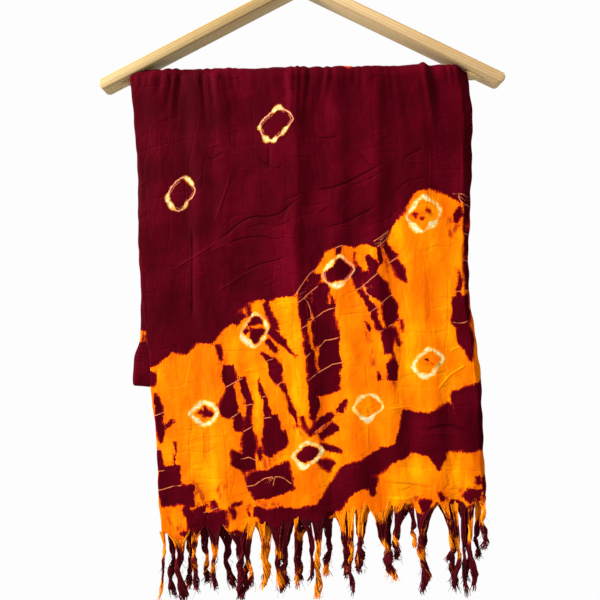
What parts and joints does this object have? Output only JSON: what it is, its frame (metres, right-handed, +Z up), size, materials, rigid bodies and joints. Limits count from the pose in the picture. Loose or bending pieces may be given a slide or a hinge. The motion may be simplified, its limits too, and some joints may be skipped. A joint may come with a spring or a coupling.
{
  "type": "dupatta stole on wooden hanger",
  "caption": "Long fringed tie-dyed stole folded lengthwise and crosswise and hung over the bar of a plain wooden hanger with a wire hook.",
  "frame": {"origin": "inside top of the hook, where the rail or nail holds it", "axes": "+Z up, front of the stole faces -Y, +X to the right seen from the front"},
  "size_m": [0.438, 0.0236, 0.7399],
  "materials": {
    "pine": "clear satin lacquer",
    "plated_steel": "bright zinc plating",
    "dyed_rayon": "soft woven rayon, tie-dyed maroon and orange",
    "fringe_yarn": "loose knotted yarn, dyed with the cloth"
  },
  "bodies": {
    "root": {"hanger_arm_left": "pine", "hanger_arm_right": "pine", "hanger_bar": "pine", "hanger_hook": "plated_steel", "stole_front": "dyed_rayon", "stole_front_under": "dyed_rayon", "stole_over_bar": "dyed_rayon", "stole_over_bar_under": "dyed_rayon", "stole_back": "dyed_rayon", "fringe_front": "fringe_yarn", "fringe_under": "fringe_yarn"}
  },
  "joints": []
}
